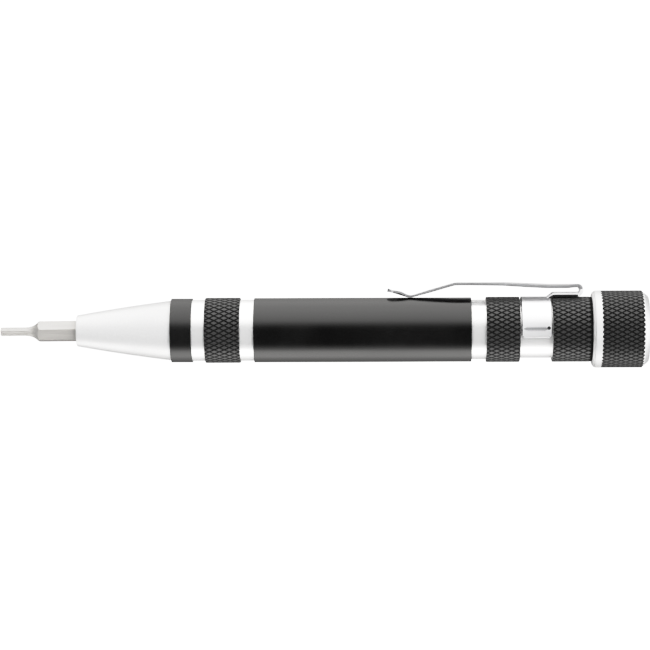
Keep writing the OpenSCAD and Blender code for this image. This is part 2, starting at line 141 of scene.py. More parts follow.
def metal(name, low, high, rough, metallic=1.0, lines=0.0, grain=0.0, specular=0.5,
          rough_spread=0.05, line_scale=TURNED_LINES, turned=0.0):
    """A metal with turned lines round the tool, fine grain and uneven sheen."""
    m, nt, bsdf = new_material(name)
    if turned:
        tangent = put(nt, "ShaderNodeTangent", direction_type="RADIAL", axis="X")
        nt.links.new(tangent.outputs["Tangent"], bsdf.inputs["Tangent"])
        bsdf.inputs["Anisotropic"].default_value = turned
        bsdf.inputs["Anisotropic Rotation"].default_value = 0.25
    bsdf.inputs["Metallic"].default_value = metallic
    bsdf.inputs["Specular IOR Level"].default_value = specular
    fine = noise(nt, stretched(nt, *line_scale), 3.0, 0.6)
    patch = noise(nt, stretched(nt, PATCH_SCALE, PATCH_SCALE, PATCH_SCALE), 3.0, 0.5)
    nt.links.new(ramp(nt, fine, [(LOW_STOP, low), (HIGH_STOP, high)]), bsdf.inputs["Base Color"])
    sheen = [(LOW_STOP, rough - rough_spread), (HIGH_STOP, rough + rough_spread)]
    nt.links.new(ramp(nt, patch, sheen), bsdf.inputs["Roughness"])
    under = None
    if lines:
        under = bump(nt, bsdf, fine, lines, LINE_HEIGHT)
    if grain:
        g = noise(nt, stretched(nt, GRAIN_SCALE, GRAIN_SCALE, GRAIN_SCALE), 2.0, 0.6)
        bump(nt, bsdf, g, grain, GRAIN_HEIGHT, under)
    return m


def spring_steel(name, low, high, rough, **values):
    """A metal of the clip, drawn along the tool."""
    return metal(name, low, high, rough, line_scale=DRAWN_LINES, rough_spread=0.04, **values)


def slot_shade_steel(name, low, high):
    """A metal for the painted shade of the slot in the clip's band."""
    return metal(name, low, high, 0.40, metallic=0.8, turned=0.6)


BLACK = metal("black_anodised", 0.002, 0.004, 0.20, metallic=0.0, lines=0.25, grain=0.05, specular=0.75)
BLACK_RING = metal("black_anodised_ring", 0.002, 0.004, 0.26, metallic=0.0, lines=0.25, grain=0.05,
                   specular=0.70, turned=0.3)
BLACK_KNURL = metal("black_anodised_knurl", 0.030, 0.047, 0.36, metallic=0.0, grain=0.15, specular=0.64)
# A darker, duller copy of the knurl's black for the faces in its grooves: painted shade in the hollows
KNURL_GROOVE_SHADE = metal("black_anodised_knurl_groove_shade", 0.009, 0.015, 0.42, metallic=0.0, grain=0.15,
                   specular=0.32)
CAP_BLACK = metal("cap_knurl_black", 0.021, 0.034, 0.36, metallic=0.0, grain=0.15, specular=0.62)
BRIGHT = metal("bright_cut_aluminium", 0.92, 0.94, 0.28, metallic=0.52, line_scale=(2500, 60, 60),
               rough_spread=0.01, turned=0.6)
SATIN = metal("satin_aluminium", 0.86, 0.91, 0.58, metallic=0.75, grain=0.35,
              line_scale=(2500, 2500, 2500), turned=0.85)
CAP_SILVER = metal("cap_aluminium", 0.88, 0.93, 0.55, metallic=0.6, lines=0.25, turned=0.9)
CAP_FACET = metal("cap_facet", 0.74, 0.80, 0.34, metallic=0.72, lines=0.25)
# A darker grey for the fine turned line on the cap's shoulder: painted shade
CAP_LINE_SHADE = metal("cap_fine_line_shade", 0.46, 0.50, 0.45, metallic=0.6)
TURNED = metal("turned_aluminium", 0.80, 0.88, 0.38, lines=0.4)
SOCKET = metal("socket_steel", (0.46, 0.46, 0.45), (0.56, 0.56, 0.55), 0.40, lines=0.3)
NICKEL = metal("magnet_nickel", (0.70, 0.69, 0.66), (0.78, 0.77, 0.74), 0.25)
DARK = metal("dark_steel", (0.05, 0.05, 0.055), (0.09, 0.09, 0.095), 0.38, lines=0.2)
BIT = metal("bit_steel", (0.44, 0.43, 0.415), (0.53, 0.52, 0.505), 0.42, metallic=0.3, grain=0.25,
            line_scale=BIT_LINES, specular=0.4)
# A darker, duller copy of the bit's steel for the faces that look down: painted shade
BIT_UNDER_SHADE = metal("bit_steel_underside_shade", (0.26, 0.25, 0.24), (0.32, 0.31, 0.30), 0.50, metallic=0.3,
                  grain=0.25, line_scale=BIT_LINES, specular=0.2)
CLIP_STEEL = spring_steel("polished_steel", (0.86, 0.86, 0.87), (0.90, 0.90, 0.91), 0.34, turned=0.8)
# A darker copy of the clip's steel for the strip's edge faces: painted shade
CLIP_EDGE_SHADE = spring_steel("clip_edge_shade", (0.45, 0.45, 0.46), (0.54, 0.54, 0.55), 0.45)
BAND_STEEL = spring_steel("band_steel", (0.86, 0.86, 0.87), (0.90, 0.90, 0.91), 0.40, metallic=0.8,
                          turned=0.6)
# A grey copy of the band's steel for its ends round the barrel: painted shade
BAND_END_SHADE = spring_steel("band_end_shade", (0.62, 0.62, 0.63), (0.68, 0.68, 0.69), 0.45, metallic=0.5)
# Three flat greys, each darker, laid over the slot: painted shade of a groove
SLOT_SHADE_LIGHT = slot_shade_steel("slot_shade_light", (0.70, 0.70, 0.71), (0.74, 0.74, 0.75))
SLOT_SHADE_MID = slot_shade_steel("slot_shade_mid", (0.52, 0.52, 0.53), (0.56, 0.56, 0.57))
SLOT_SHADE_DARK = slot_shade_steel("slot_shade_dark", (0.36, 0.36, 0.37), (0.40, 0.40, 0.41))
# Near-black copy of the clip's steel for the foot's underside and edges and the band's edges: painted shade
CLIP_SHADE = spring_steel("clip_dark_shade", 0.05, 0.09, 0.35)
# Near black for the small round hole: painted shadow inside it
HOLE_SHADE = metal("clip_band_hole_shade", 0.01, 0.02, 0.60, metallic=0.0, specular=0.2)
# A lighter, duller copy of the clip's steel for the foot's top and the bend's lower half: painted light
CLIP_FOOT_LIGHT = spring_steel("clip_foot_light", (0.90, 0.90, 0.91), (0.94, 0.94, 0.95), 0.55, metallic=0.1)
# A dark copy of the clip's steel for its underside over the barrel: painted shade and reflection of the
# black barrel
CLIP_UNDER_SHADE = spring_steel("clip_underside_shade", (0.22, 0.22, 0.23), (0.30, 0.30, 0.31), 0.30)
# A mid-grey copy of the clip's steel for the lip's underside: painted shade, lighter than under the arm
CLIP_LIP_SHADE = spring_steel("clip_lip_underside_shade", (0.68, 0.68, 0.69), (0.76, 0.76, 0.77), 0.35, metallic=0.5)
# Matt near-black rubber, also laid on the barrel's rim and the seal's lip as painted shadow of the gap
# before the cap
RUBBER_AND_GAP_SHADE = metal("seal_rubber", 0.004, 0.007, 0.80, metallic=0.0, grain=0.1, specular=0.1)
PLASTIC = metal("carrier_plastic", (0.030, 0.030, 0.032), (0.045, 0.045, 0.047), 0.5, metallic=0.0,
                grain=0.4, line_scale=(900, 900, 900))


# Mesh helpers


def place(me, body, angle):
    """The object of a mesh: smooth, with sharp edges by angle, on its body if it rides just one."""
    me.shade_smooth()
    me.set_sharp_from_angle(angle=math.radians(angle))
    ob = bpy.data.objects.new(me.name, me)
    bpy.context.scene.collection.objects.link(ob)
    if body:
        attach(ob, body)
    return ob


def make(name, verts, faces, mats, index=None, body=None, angle=25.0, merge=0.0):
    """A mesh piece from millimetres."""
    me = bpy.data.meshes.new(name)
    me.from_pydata([tuple(c * MM for c in v) for v in verts], [], faces)
    for m in mats:
        me.materials.append(m)
    if index is not None:
        me.polygons.foreach_set("material_index", index)
    bm = bmesh.new()
    bm.from_mesh(me)
    if merge:
        bmesh.ops.remove_doubles(bm, verts=bm.verts, dist=merge * MM)
    bmesh.ops.recalc_face_normals(bm, faces=bm.faces)
    bm.to_mesh(me)
    bm.free()
    return place(me, body, angle)


def quad(i, k, seg):
    """The face between the rings i and i + 1, from their point k to the next one."""
    k2 = (k + 1) % seg
    return (i * seg + k, i * seg + k2, (i + 1) * seg + k2, (i + 1) * seg + k)


def ends(rings, seg):
    """The two faces that close a stack of rings."""
    return [tuple(range(seg)), tuple((rings - 1) * seg + k for k in range(seg))]


def lathe(name, profile, mats, body, seg=192):
    """A turned piece: profile is [(x, r, material of the stretch that follows)]."""
    verts, faces, index = [], [], []
    for x, r, _ in profile:
        for k in range(seg):
            a = TAU * k / seg
            verts.append((x, r * math.sin(a), r * math.cos(a)))
    for i in range(len(profile) - 1):
        for k in range(seg):
            faces.append(quad(i, k, seg))
            index.append(profile[i][2])
    return make(name, verts, faces, mats, index, body, merge=0.0005)


def arc(cx, cr, rad, a0, a1, n, mat):
    """Points of a round in a turned profile."""
    out = []
    for i in range(n + 1):
        a = math.radians(a0 + (a1 - a0) * i / n)
        out.append((cx + rad * math.cos(a), cr + rad * math.sin(a), mat))
    return out


def between(a, b, n):
    """Places from a to b in n even steps, without a itself."""
    return [a + (b - a) * i / n for i in range(1, n + 1)]


def clamp(t):
    """A number held between none and one."""
    return min(1.0, max(0.0, t))


KNURL_DEPTH, KNURL_FLAT = 0.24, 0.64    # the flat is a share of a tooth's width
KNURL_STEPS, KNURL_WALL, KNURL_ANGLE = 5, 0.35, 12
NEAR, SNAP = 1e-4, 1e-6                 # millimetres, while the knurl is laid out flat
NEAR_M = 1e-7                           # metres, once it is rolled up
CORNERS = ((-1, 0), (0, -1), (1, 0), (0, 1))


def knurl(name, x0, x1, r_top, count, cell_l, body, mats, low0, low1):
    """A diamond knurl between x0 and x1. Cuts at 45 degrees end at the radii low0 and low1.

    It is laid out flat, with the radius as its height and each tooth 1 wide, cut, and rolled up.
    The materials are those of the teeth's tops, of the cuts and of the grooves."""
    r_low = r_top - KNURL_DEPTH
    bm = bmesh.new()
    rows = int(math.ceil((x1 - x0) / cell_l)) + 2
    for i in range(-2, 2 * rows + 2):
        cx = x0 + (i / 2 - 0.5) * cell_l
        if cx + cell_l / 2 < x0 or cx - cell_l / 2 > x1:
            continue
        for j in range(count):
            cs = j + (0.5 if i % 2 else 0.0)
            out = [bm.verts.new((cx + dx * cell_l / 2, cs + ds / 2, r_low)) for dx, ds in CORNERS]
            top = [bm.verts.new((cx + dx * KNURL_FLAT * cell_l / 2, cs + ds * KNURL_FLAT / 2, r_top))
                   for dx, ds in CORNERS]
            bm.faces.new(top)
            for k in range(4):
                bm.faces.new((out[k], out[(k + 1) % 4], top[(k + 1) % 4], top[k]))
    steps = range(1, KNURL_STEPS + 1)
    cuts = [(x0, -1), (x1, 1)] + [(x0 + (r_top - low0) * k / KNURL_STEPS, 0) for k in steps]
    cuts += [(x1 - (r_top - low1) * k / KNURL_STEPS, 0) for k in steps]
    for x, clear in cuts:
        geom = bm.verts[:] + bm.edges[:] + bm.faces[:]
        bmesh.ops.bisect_plane(bm, geom=geom, dist=SNAP, plane_co=(x, 0, 0), plane_no=(1, 0, 0),
                               clear_inner=clear < 0, clear_outer=clear > 0)
    bmesh.ops.remove_doubles(bm, verts=bm.verts, dist=NEAR)

    def limit(x):
        return min(r_top, low0 + (x - x0), low1 + (x1 - x))

    for v in bm.verts:
        if v.co.z > limit(v.co.x) + SNAP:
            v.co.z = limit(v.co.x)
    for f in bm.faces:
        below = min(v.co.z for v in f.verts) < r_top - NEAR
        on_cut = below and all(abs(v.co.z - limit(v.co.x)) < NEAR for v in f.verts) \
            and limit(f.calc_center_median().x) < r_top - NEAR
        # faces below the teeth's tops lie in the grooves and take the painted shade
        f.material_index = 1 if on_cut else 2 if below else 0
    for v in bm.verts:
        a = TAU * v.co.y / count
        v.co = Vector((v.co.x, v.co.z * math.sin(a), v.co.z * math.cos(a))) * MM
    bmesh.ops.remove_doubles(bm, verts=bm.verts, dist=NEAR_M)
    # end walls, down under the smooth rings at both sides
    for x in (x0, x1):
        rim = [e for e in bm.edges if e.is_boundary and all(abs(v.co.x - x * MM) < NEAR_M for v in e.verts)]
        ext = bmesh.ops.extrude_edge_only(bm, edges=rim)
        for v in [g for g in ext["geom"] if isinstance(g, bmesh.types.BMVert)]:
            k = (r_low - KNURL_WALL) * MM / math.hypot(v.co.y, v.co.z)
            v.co = Vector((v.co.x, v.co.y * k, v.co.z * k))
        for f in [g for g in ext["geom"] if isinstance(g, bmesh.types.BMFace)]:
            f.material_index = 0
    bmesh.ops.recalc_face_normals(bm, faces=bm.faces)
    me = bpy.data.meshes.new(name)
    bm.to_mesh(me)
    bm.free()
    for m in mats:
        me.materials.append(m)
    return place(me, body, KNURL_ANGLE)


# Barrel, with its three knurls
BODY, SILVER, GAP_SHADE, RING = 0, 1, 2, 3
barrel = lathe("barrel_body", [
    (NOSE_L, R_BORE, RING), (NOSE_L, R_RING - EDGE, RING), (NOSE_L + EDGE, R_RING, RING),
    (CUT1 - EDGE, R_RING, RING), (CUT1, R_RING - EDGE, RING), (CUT1, R_CUT, SILVER),
    (KNURL1, R_CUT, SILVER), (KNURL1 + EDGE, R_UNDER_FRONT, BODY), (CUT2 - EDGE, R_UNDER_FRONT, SILVER),
    (CUT2, R_CUT, SILVER), (LAND, R_CUT, BODY), (LAND, R_LAND - EDGE, BODY), (LAND + EDGE, R_LAND, BODY),
    (CUT3 - EDGE, R_LAND, BODY), (CUT3, R_LAND - EDGE, BODY), (CUT3, R_REAR_CUT, SILVER),
    (KNURL2, R_REAR_CUT, SILVER), (KNURL2 + EDGE, R_UNDER_REAR, BODY), (CLIP - EDGE, R_UNDER_REAR, SILVER),
    (CLIP, R_CLIP_FLOOR, SILVER), (KNURL3, R_CLIP_FLOOR, SILVER), (KNURL3 + EDGE, R_UNDER_REAR, BODY),
    # the barrel's rim before the cap takes the matt black rubber: painted shadow of the gap
    (RIM_X - EDGE, R_UNDER_REAR, BODY), (RIM_X - EDGE, R_RIM - 3 * HAIR, GAP_SHADE), (RIM_X, R_RIM, GAP_SHADE),
    (BARREL_END - HAIR, R_RIM, GAP_SHADE), (BARREL_END, R_RIM - HAIR, GAP_SHADE), (BARREL_END, R_SEAT, BODY),
    (SEAT_X, R_SEAT, SILVER), (SEAT_X, R_THREAD, SILVER), (THREAD_X, R_THREAD, BODY),
    (THREAD_X, R_BORE, BODY), (NOSE_L, R_BORE, BODY)], [BLACK, BRIGHT, RUBBER_AND_GAP_SHADE, BLACK_RING], "handle")
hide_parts("barrel")

BARREL_CELL, BARREL_TEETH = 2.1, 40
R_BEVEL, R_RIM_BEVEL = 6.72, 6.78
for name, x0, x1, low1 in (("barrel_knurl_front", KNURL1, CUT2, R_BEVEL),
                           ("barrel_knurl_rear", KNURL2, CLIP, R_BEVEL),
                           ("barrel_knurl_end", KNURL3, RIM_X, R_RIM_BEVEL)):
    k = knurl(name, x0, x1, R_KNURL, BARREL_TEETH, BARREL_CELL, "handle",
              [BLACK_KNURL, BLACK_KNURL, KNURL_GROOVE_SHADE], R_BEVEL, low1)

# Nose cone, a little bulged, with a rounded lip and a funnel in its mouth
R_MOUTH, NOSE_GROWTH, NOSE_BULGE = 3.25, 3.04, 0.15
LIP_R, LIP_SHARE, LIP_STEPS, NOSE_STEPS = 0.4, 0.02, 8, 40
SOCKET_X, SPIGOT_END, R_SPIGOT, R_SOCKET, R_HOLE = 1.2, 27.0, 5.1, 3.05, 2.3
FUNNEL = ((0.25, 2.47), (0.0, 2.6))


def nose_r(t):
    """Radius of the nose at a share of its length."""
    return R_MOUTH + NOSE_GROWTH * t + 4 * NOSE_BULGE * t * (1 - t)


nose_profile = [(SOCKET_X, R_HOLE, 0)] + [(x, r, 0) for x, r in FUNNEL]
for i in range(LIP_STEPS + 1):
    a = math.radians(90 * i / LIP_STEPS)
    nose_profile.append((LIP_R * (1 - math.cos(a)), nose_r(LIP_SHARE) - LIP_R * (1 - math.sin(a)), 0))
for i in range(1, NOSE_STEPS + 1):
    nose_profile.append((NOSE_L * i / NOSE_STEPS, nose_r(i / NOSE_STEPS), 0))
nose_profile += [(NOSE_L, R_SPIGOT, 0), (SPIGOT_END, R_SPIGOT, 0), (SPIGOT_END, R_SOCKET, 0),
                 (SOCKET_X, R_SOCKET, 0), (SOCKET_X, R_HOLE, 0)]
nose = lathe("nose_cone_body", nose_profile, [SATIN], "handle")
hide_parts("nose_cone")

# Driver bit, from its star tip over the neck to the six-sided shank
TIP0, TIP1, FLARE1, BIT_END = -16.1, -10.9, -8.5, 11.75
FRONT_L, REAR_STEPS = 0.75, (0.4, 0.3, 0.2, 0.1, 0)    # the bevels of the shank
STAR_R, STAR_DEPTH, STAR_POWER = 0.94, 0.17, 1.3
TIP_BEVEL, NECK_R, SHANK_AF, REAR_R = 0.12, 1.72, 4.0, 1.95
FADE_SHARE, FLARE_POWER, FRONT_RISE, REAR_RISE = 0.45, 2.6, 0.85, 0.9
DROOP, DROOP_SLOPE = 0.04, 0.0075    # the bit hangs down by the socket's clearance
UNDERSIDE = -0.9                     # faces that look down more steeply than this get a darker, duller copy: painted shade
BIT_SEG, BIT_TURN = 180, math.radians(-20)


def hex_r(a, af):
    """Radius of a hexagon with a corner at angle zero."""
    return af / 2 / math.cos(a % (math.pi / 3) - math.pi / 6)


def star_r(a, depth):
    """Radius of the six-lobed star."""
    lobe = 0.5 + 0.5 * math.cos(6 * a)
    return STAR_R * (1 - depth * (1 - lobe) ** STAR_POWER)


def bit_radius(x, a):
    """Radius of the bit at a place along it and an angle round it."""
    if x <= TIP1:
        r = star_r(a, STAR_DEPTH)
        if x < TIP0 + TIP_BEVEL:
            r = min(r, STAR_R - TIP_BEVEL + (x - TIP0))
        return r
    if x <= FLARE1:
        t = (x - TIP1) / (FLARE1 - TIP1)
        fade = max(0.0, 1 - t / FADE_SHARE)
        return star_r(a, STAR_DEPTH * fade) + (NECK_R - STAR_R) * t ** FLARE_POWER
    cone = min(NECK_R + (x - FLARE1) * FRONT_RISE, REAR_R + (BIT_END - x) * REAR_RISE)
    return min(hex_r(a, SHANK_AF), cone)


stations = [TIP0] + between(TIP0, TIP0 + TIP_BEVEL, 2) + between(TIP0 + TIP_BEVEL, TIP1, 8)
stations += between(TIP1, FLARE1, 24) + between(FLARE1, FLARE1 + FRONT_L, 12)
stations += [-5, 0, 5] + [BIT_END - d for d in REAR_STEPS]
verts, faces = [], []
for x in stations:
    for k in range(BIT_SEG):
        a = TAU * k / BIT_SEG
        r = bit_radius(x, a)
        verts.append((x, r * math.sin(a + BIT_TURN), r * math.cos(a + BIT_TURN)))
for i in range(len(stations) - 1):
    for k in range(BIT_SEG):
        faces.append(quad(i, k, BIT_SEG))
faces += ends(len(stations), BIT_SEG)
bit = make("driver_bit_body", verts, faces, [BIT, BIT_UNDER_SHADE], None, "bit", 22.0, merge=0.0002)
for v in bit.data.vertices:
    v.co.z += DROOP_SLOPE * v.co.x - DROOP * MM
# the faces that look down get the painted shade
for face in bit.data.polygons:
    face.material_index = 1 if face.normal.z < UNDERSIDE else 0
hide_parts("driver_bit")

# End cap: a collar with a round shoulder, a knurl and a bevelled end
PLAIN, FACET, LINE = 0, 1, 2
LINE_ANGLE, LINE_REACH, LINE_DEPTH = 57.0, 4.0, 0.05    # a fine turned line on the shoulder, darkened with painted shade
LINE_GAP = 0.01                                         # least step from the line to the shoulder's points
FACE_BACK, FACE_OUT = 0.08, 0.09                        # the soft edge round the end face
CHAMFER_X = CAP_CHAMFER + 0.12
shoulder = arc(CAP_X + SHOULDER, R_COLLAR - SHOULDER, SHOULDER, 180, 90, 12, PLAIN)
line = [(CAP_X + SHOULDER - (SHOULDER - deep) * math.cos(math.radians(a)),
         R_COLLAR - SHOULDER + (SHOULDER - deep) * math.sin(math.radians(a)), mat)
        for a, deep, mat in ((LINE_ANGLE - LINE_REACH, 0.0, LINE), (LINE_ANGLE, LINE_DEPTH, LINE),
                             (LINE_ANGLE + LINE_REACH, 0.0, PLAIN))]
cap_profile = [(CAP_X, R_CAP_HOLE, PLAIN)]
cap_profile += [row for row in shoulder if row[0] < line[0][0] - LINE_GAP] + line
cap_profile += [row for row in shoulder if row[0] > line[2][0] + LINE_GAP]
cap_profile += [(CAP_KNURL, R_COLLAR, PLAIN), (CAP_KNURL + EDGE, R_UNDER_CAP, PLAIN),
                (CAP_CHAMFER - EDGE, R_UNDER_CAP, FACET), (CHAMFER_X, R_CHAMFER, FACET),
                (CAP_END - FACE_BACK, R_FACE + FACE_OUT, FACET), (CAP_END, R_FACE - EDGE, PLAIN),
                (CAP_END, 0.0, PLAIN)]
cap = lathe("end_cap_body", cap_profile, [CAP_SILVER, CAP_FACET, CAP_LINE_SHADE], "cap")
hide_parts("end_cap")

CAP_CELL, CAP_TEETH, R_CAP_BEVEL = 2.0, 50, 7.93
cap_knurl = knurl("end_cap_knurl", CAP_KNURL, CHAMFER_X, R_CAP, CAP_TEETH, CAP_CELL, "cap",
                  [CAP_BLACK, CAP_SILVER, KNURL_GROOVE_SHADE], R_CAP_BEVEL, R_CHAMFER)

# Rubber ring in its seat, with a black lip that fills the gap before the cap: painted shadow of the gap
SEAL_X, SEAL_R, SEAL_HALF, SEAL_LIP, SEAL_BORE = SEAT_X + 0.5, 5.55, 0.45, 6.78, 5.15
SEAL_END = CAP_X - 0.01
seal_profile = arc(SEAL_X, SEAL_R, SEAL_HALF, -90, -360, 18, 0) + [
    (BARREL_END + HAIR, SEAL_R, 0), (BARREL_END + HAIR, SEAL_LIP - 0.06, 0),
    (BARREL_END + EDGE, SEAL_LIP, 0), (CAP_X - EDGE, SEAL_LIP, 0), (SEAL_END, SEAL_LIP - 0.04, 0),
    (SEAL_END, SEAL_BORE, 0), (SEAL_X, SEAL_R - SEAL_HALF, 0)]
seal = lathe("seal_ring_body", seal_profile, [RUBBER_AND_GAP_SHADE], "cap", seg=144)
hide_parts("seal_ring")

# Plug with its screw thread
PITCH, TURNS, R_ROOT, R_CREST = 1.0, 6, 5.02, 5.5
THREAD_SHAPE = ((0, R_ROOT), (0.12, R_ROOT), (0.47, R_CREST), (0.60, R_CREST), (0.95, R_ROOT))
PLUG_X, PIVOT_WALL, PIVOT_END, PLUG_END = 89.0, 93.0, 94.6, 113.25
R_PLUG, R_WAIST, R_PIVOT, R_PIVOT_SCREW, R_PLUG_BORE = 4.9, 5.05, 2.25, 1.05, 2.2
thread_x = THREAD_X + 0.3
thread = [(thread_x + PITCH * turn + dx, r, 0) for turn in range(TURNS) for dx, r in THREAD_SHAPE]
plug_profile = [(PLUG_X, R_PIVOT, 0), (PLUG_X, R_PLUG - 0.1, 0), (PLUG_X + 0.1, R_PLUG, 0),
                (thread_x, R_PLUG, 0)] + thread + [
    (SEAT_X, R_WAIST, 0), (CAP_X, R_WAIST, 0), (CAP_X, R_PLUG, 0), (PLUG_END, R_PLUG, 0),
    (PLUG_END, R_PLUG_BORE, 0), (PIVOT_END, R_PLUG_BORE, 0), (PIVOT_END, R_PIVOT_SCREW, 0),
    (PIVOT_WALL, R_PIVOT_SCREW, 0), (PIVOT_WALL, R_PIVOT, 0), (PLUG_X, R_PIVOT, 0)]
plug = lathe("cap_plug_body", plug_profile, [TURNED], "cap", seg=144)
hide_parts("cap_plug")

# Clip: the strip, from its lip over the arm and the bend to the band, and the band in its groove
STRIP_T, T_ARM, T_BACK, STRIP_W, TIP_W = 0.50, 0.62, 0.72, 4.6, 3.8
BAND_X, BAND_L, BAND_R, LIFT, WRAP = 93.4, 6.27, 6.1, 0.3, 106.6
BAND_SKIN = BAND_R + STRIP_T


def unit(v):
    """A direction of length one."""
    n = math.hypot(*v)
    return (v[0] / n, v[1] / n)


def fillet(a, b, c, r, n):
    """The round of radius r that joins the lines a to b and b to c."""
    u = unit((a[0] - b[0], a[1] - b[1]))
    w = unit((c[0] - b[0], c[1] - b[1]))
    half = math.acos(max(-1, min(1, u[0] * w[0] + u[1] * w[1]))) / 2
    m = unit((u[0] + w[0], u[1] + w[1]))
    ctr = (b[0] + m[0] * r / math.sin(half), b[1] + m[1] * r / math.sin(half))
    f = (b[0] + u[0] * r / math.tan(half) - ctr[0], b[1] + u[1] * r / math.tan(half) - ctr[1])
    t = (b[0] + w[0] * r / math.tan(half) - ctr[0], b[1] + w[1] * r / math.tan(half) - ctr[1])
    s = math.atan2(f[1], f[0])
    turn = (math.atan2(t[1], t[0]) - s + 3 * math.pi) % TAU - math.pi
    return [(ctr[0] + r * math.cos(s + turn * i / n), ctr[1] + r * math.sin(s + turn * i / n))
            for i in range(n + 1)]


# The strip's middle line in the XZ plane, from the lip's tip over the arm and the bend to the band
U_R, LIP_L, CONTACT_R, ARM_R, STEP_R = 0.77, 4.95, 3, 5, 0.5
FOOT_GAP, CREST_H, U_BACK, ARM_L, TOUCH = 0.52, 2.84, 2.7, 35.1, 0.01
STEP_BACK, STEP_RUN, JOIN_BACK, U_STEPS = 1.05, 1.2, 2.2, 20
FOOT_Z = R_KNURL + FOOT_GAP + STRIP_T / 2
CREST_Z = R_LAND + CREST_H
U_X = BARREL_END - U_BACK
CONTACT_X = U_X - ARM_L
ARM_SLOPE, LIP_SLOPE = math.radians(16), math.radians(17.2)
rise = CONTACT_R * (math.cos((ARM_SLOPE - LIP_SLOPE) / 2) / math.cos((ARM_SLOPE + LIP_SLOPE) / 2) - 1)
CONTACT = (CONTACT_X, R_LAND + TOUCH + STRIP_T / 2 - rise)
LIP = (CONTACT[0] - LIP_L * math.cos(LIP_SLOPE), CONTACT[1] + LIP_L * math.sin(LIP_SLOPE))
CREST = (CONTACT_X + (CREST_Z - CONTACT[1]) / math.tan(ARM_SLOPE), CREST_Z)
BACK = (U_X, FOOT_Z + 2 * U_R)
KNEE_SHARES, HEEL_SHARES = (0.40, 0.03), (0.76, 0.97)    # of the way from the crest to the back
KNEE, HEEL = [(CREST[0] + (BACK[0] - CREST[0]) * along, CREST[1] + (BACK[1] - CREST[1]) * down)
              for along, down in (KNEE_SHARES, HEEL_SHARES)]
BAND_TOP = BAND_R + LIFT + STRIP_T / 2
STEP_A = (KNURL3 - STEP_BACK, BAND_TOP)
STEP_B = (STEP_A[0] + STEP_RUN, FOOT_Z)
path = [LIP] + fillet(LIP, CONTACT, CREST, CONTACT_R, 8) + fillet(CONTACT, CREST, KNEE, ARM_R, 8)
path += fillet(CREST, KNEE, HEEL, ARM_R, 4) + fillet(KNEE, HEEL, BACK, ARM_R, 4)
for i in range(U_STEPS + 1):
    a = math.radians(90 - 180 * i / U_STEPS)
    path.append((U_X + U_R * math.cos(a), FOOT_Z + U_R + U_R * math.sin(a)))
path += fillet((U_X, FOOT_Z), STEP_B, STEP_A, STEP_R, 8)
path += fillet(STEP_B, STEP_A, (BAND_X, BAND_TOP), STEP_R, 8)
path += [(BAND_X + BAND_L - JOIN_BACK, BAND_TOP)]


def resample(pts, step):
    """Extra points on the long stretches of a path."""
    out = [pts[0]]
    for a, b in zip(pts, pts[1:]):
        d = math.hypot(b[0] - a[0], b[1] - a[1])
        n = max(1, int(d / step))
        for i in range(1, n + 1):
            out.append((a[0] + (b[0] - a[0]) * i / n, a[1] + (b[1] - a[1]) * i / n))
    return out


path = resample(path, 0.35)
length = [0.0]
for a, b in zip(path, path[1:]):
    length.append(length[-1] + math.hypot(b[0] - a[0], b[1] - a[1]))
crest_at = next(i for i, p in enumerate(path) if p[0] > CREST[0])
bend_at = next(i for i, p in enumerate(path) if p[0] >= U_X - 0.01)
bend_end = next(i for i, p in enumerate(path) if i > bend_at + 5 and p[0] <= U_X + 0.01)

ACROSS, BEVEL = 17, 0.03                            # points across the strip, and its edges' bevel
AROUND = 2 * ACROSS + 8                             # points round its section
TIP_R, BEAD, BEAD_L = 1.3, 0.22, 0.9                # the tip's rounding, and its thicker bead
LIP_POINTS = 40                                     # from the end of the lip's underside to the crest
LIP_CUP, LIP_CUP_AT, LIP_CUP_L = 0.42, 2.7, 1.35    # the lip's hollow: depth, place and half length
ARM_CUP, FOOT_CUP, KNURL_CUP = 0.20, 0.42, 0.15     # how far the arm and the foot are cupped
THICK_AT, THICK_L = 6.0, 3.0                        # where the arm grows thicker, from the tip
BACK_AT, BACK_L, ARM_CUP_L = 18.0, 12.0, 14.0       # where its back does, and where it is cupped
THIN, THIN_AT, THIN_L = 0.06, 3.4, 0.6              # how much thinner it is in the band's groove


def section(width, sag, thick, power):
    """The strip's cross section: a thin rounded slab, cupped by sag, as [(across, up)]."""
    top, low = [], []
    for i in range(ACROSS):
        y = -width / 2 + BEVEL + (width - 2 * BEVEL) * i / (ACROSS - 1)
        up = -sag * abs(2 * y / width) ** power
        top.append((y, thick / 2 + up))
        low.append((y, -thick / 2 + up))
    edge_y, edge_z = width / 2 - 0.3 * BEVEL, thick / 2 - 0.3 * BEVEL
    side_r = [(edge_y, edge_z - sag), (width / 2, thick / 2 - BEVEL - sag),
              (width / 2, -thick / 2 + BEVEL - sag), (edge_y, -edge_z - sag)]
    side_l = [(-y, z) for y, z in reversed(side_r)]
    return top + side_r + list(reversed(low)) + side_l


def turned_in(s):
    """None up to the middle of the bend, one from its end on."""
    begin = (length[bend_at] + length[bend_end]) / 2
    return clamp((s - begin) / (length[bend_end] - begin))


def over_knurl(s, x):
    """One where the foot lies over the knurl, none from the step down to the band."""
    return clamp((x - KNURL3 + 0.5) / 0.6) * turned_in(s)


def cup(s, x):
    """How far the strip's sides drop below its middle.

    The lip is cupped upwards, and the foot follows the knurl."""
    lip = -LIP_CUP * math.exp(-((s - LIP_CUP_AT) / LIP_CUP_L) ** 2)
    arm = ARM_CUP * clamp((s - BACK_AT) / ARM_CUP_L) * clamp((length[bend_at] - s) / 2.0)
    foot = -turned_in(s) * (FOOT_CUP + KNURL_CUP * over_knurl(s, x))
    return lip + arm + foot


